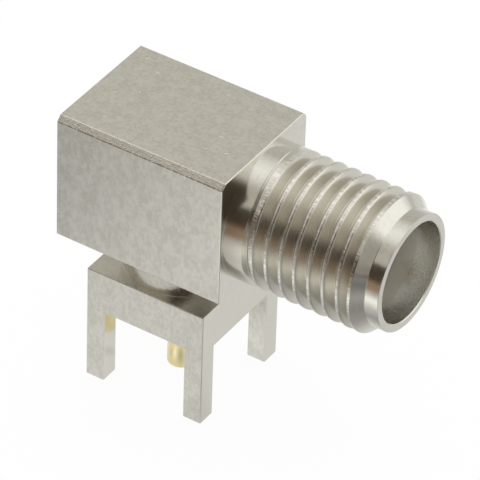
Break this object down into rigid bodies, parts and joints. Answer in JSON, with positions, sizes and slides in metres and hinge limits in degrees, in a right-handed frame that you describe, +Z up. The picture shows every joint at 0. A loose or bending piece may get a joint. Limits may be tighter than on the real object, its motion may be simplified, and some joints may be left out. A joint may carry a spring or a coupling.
{
  "type": "right-angle board-mount coaxial socket",
  "caption": "Right-angle coaxial socket for a circuit board: threaded barrel on a square block, on a four-legged base with a central solder pin.",
  "frame": {"origin": "on the solder pin's axis, at the underside of the base plate, where the board lies", "axes": "+X along the barrel and out of its mouth, +Z up away from the board, +Y to the left when looking out of the mouth"},
  "size_m": [0.0157, 0.0066, 0.0136],
  "materials": {
    "plated_body": "satin nickel-coloured plating over machined brass",
    "plated_base": "satin nickel-coloured plating over machined brass, fine milling grain",
    "plated_cap": "satin nickel-coloured plating over turned brass",
    "insulator": "turned white fluoropolymer",
    "gold_contact": "gold plating over copper alloy",
    "gold_pin": "gold plating over copper alloy"
  },
  "bodies": {
    "root": {"body": "plated_body", "base": "plated_base", "front_insulator": "insulator", "socket_contact": "gold_contact", "tail_insulator": "insulator", "solder_pin": "gold_pin", "rear_cap": "plated_cap"}
  },
  "joints": []
}
